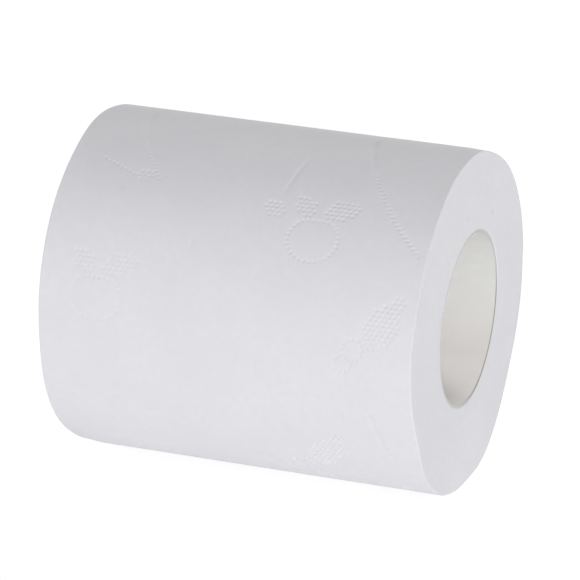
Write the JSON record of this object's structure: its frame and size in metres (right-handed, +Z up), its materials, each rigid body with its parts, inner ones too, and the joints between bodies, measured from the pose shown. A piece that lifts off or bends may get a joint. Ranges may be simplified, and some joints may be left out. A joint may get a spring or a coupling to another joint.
{
  "type": "toilet paper roll",
  "caption": "Toilet paper roll lying on its side: white embossed tissue wound on a card tube, with a soft flat spot to rest on and an open core for a holder's spindle.",
  "frame": {"origin": "on the surface that the roll lies on, under the middle of the roll", "axes": "+X along the roll's axis, out of the end that the picture shows; -Y is the front; +Z is up"},
  "size_m": [0.098, 0.0871, 0.0866],
  "materials": {
    "tissue": "soft matt white tissue with embossed dots",
    "core_card": "pale off-white card, spiral wound"
  },
  "bodies": {
    "root": {"paper_roll": "tissue", "card_core": "core_card"}
  },
  "joints": []
}
